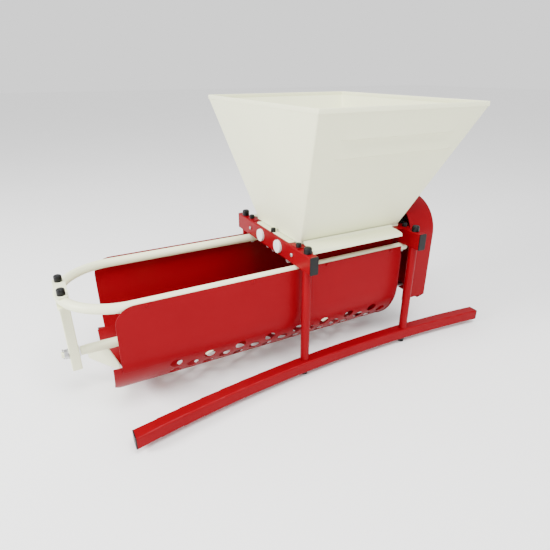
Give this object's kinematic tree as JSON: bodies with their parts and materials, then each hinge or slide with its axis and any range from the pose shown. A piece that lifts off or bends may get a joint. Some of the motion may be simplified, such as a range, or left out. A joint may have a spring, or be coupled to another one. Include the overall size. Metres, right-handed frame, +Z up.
{
  "type": "grape crusher destemmer",
  "caption": "Hand-cranked crusher: hopper over geared fluted rollers, perforated trough with a belt-driven paddle rotor, tube frame on bowed support bars.",
  "frame": {"origin": "middle of the bounding box on the surface that the machine stands on", "axes": "+X along the trough from its open end to the drive guard, +Y to the back, +Z up"},
  "size_m": [1.313, 0.63, 0.752],
  "materials": {
    "red_paint": "gloss powder coat",
    "cream_paint": "satin powder coat",
    "black_plastic": "moulded, matt",
    "white_nylon": "turned",
    "zinc_steel": "zinc plated",
    "belt_rubber": "matt, cloth faced",
    "roller_aluminium": "extruded, satin",
    "shaft_steel": "drawn bright",
    "cast_iron": "cast, machined teeth and grooves",
    "grip_plastic": "moulded, fine texture"
  },
  "bodies": {
    "frame": {"crossbeam_left": "red_paint", "crossbeam_right": "red_paint", "leg_front_left": "red_paint", "leg_rear_left": "red_paint", "leg_front_right": "red_paint", "leg_rear_right": "red_paint", "support_bar_front": "red_paint", "support_bar_rear": "red_paint", "trough_panel_front": "red_paint", "trough_panel_rear": "red_paint", "destemming_screen": "red_paint", "trough_end_plate": "red_paint", "feed_plate_front": "red_paint", "feed_plate_rear": "red_paint", "guard_cover": "red_paint", "rail": "cream_paint", "end_bracket": "cream_paint", "bracket_top_plate": "cream_paint", "hopper": "cream_paint", "hopper_aprons": "cream_paint", "beam_end_plugs": "black_plastic", "bar_end_plugs": "black_plastic", "rail_end_plugs": "black_plastic", "foot_nut_caps": "black_plastic", "large_nut_caps": "black_plastic", "small_nut_caps": "black_plastic", "roller_bushes": "white_nylon", "rotor_bushes": "white_nylon", "leg_tie_rods": "zinc_steel", "m8_nuts": "zinc_steel", "m6_nuts": "zinc_steel", "rail_screws": "zinc_steel", "bracket_screws": "zinc_steel", "panel_screws": "red_paint", "beam_screws": "zinc_steel", "feed_screws": "zinc_steel", "guard_spacers": "zinc_steel", "guard_screws": "zinc_steel", "drive_belt": "belt_rubber"},
    "roller_rear_group": {"roller_rear": "roller_aluminium", "roller_shaft_rear": "shaft_steel", "roller_gear_rear": "cast_iron", "drive_pulley": "cast_iron", "crank_arm": "red_paint", "crank_pin": "zinc_steel", "crank_hub_nut": "zinc_steel"},
    "roller_front_group": {"roller_front": "roller_aluminium", "roller_shaft_front": "shaft_steel", "roller_gear_front": "cast_iron"},
    "rotor_group": {"rotor_shaft": "cream_paint", "beater_paddles": "cream_paint", "rotor_pulley": "cast_iron", "rotor_washer": "zinc_steel", "rotor_end_nut": "zinc_steel", "rotor_split_pin": "zinc_steel", "rotor_collar": "cream_paint"},
    "grip_group": {"crank_grip": "grip_plastic"}
  },
  "joints": [
    {"name": "crank_spin", "type": "hinge", "parent": "frame", "child": "roller_rear_group", "pos_m": [0.156, 0.055, 0.36], "axis": [1, 0, 0], "continuous": true},
    {"name": "roller_front_spin", "type": "hinge", "parent": "frame", "child": "roller_front_group", "pos_m": [0.156, -0.055, 0.36], "axis": [1, 0, 0], "continuous": true},
    {"name": "rotor_spin", "type": "hinge", "parent": "frame", "child": "rotor_group", "pos_m": [0, 0, 0.148], "axis": [1, 0, 0], "continuous": true},
    {"name": "grip_spin", "type": "hinge", "parent": "roller_rear_group", "child": "grip_group", "pos_m": [0.53, 0.055, 0.54], "axis": [1, 0, 0], "continuous": true}
  ],
  "couplings": [
    {"joint": "roller_front_spin", "follows": "crank_spin", "ratio": -1},
    {"joint": "rotor_spin", "follows": "crank_spin", "ratio": 3.52}
  ]
}
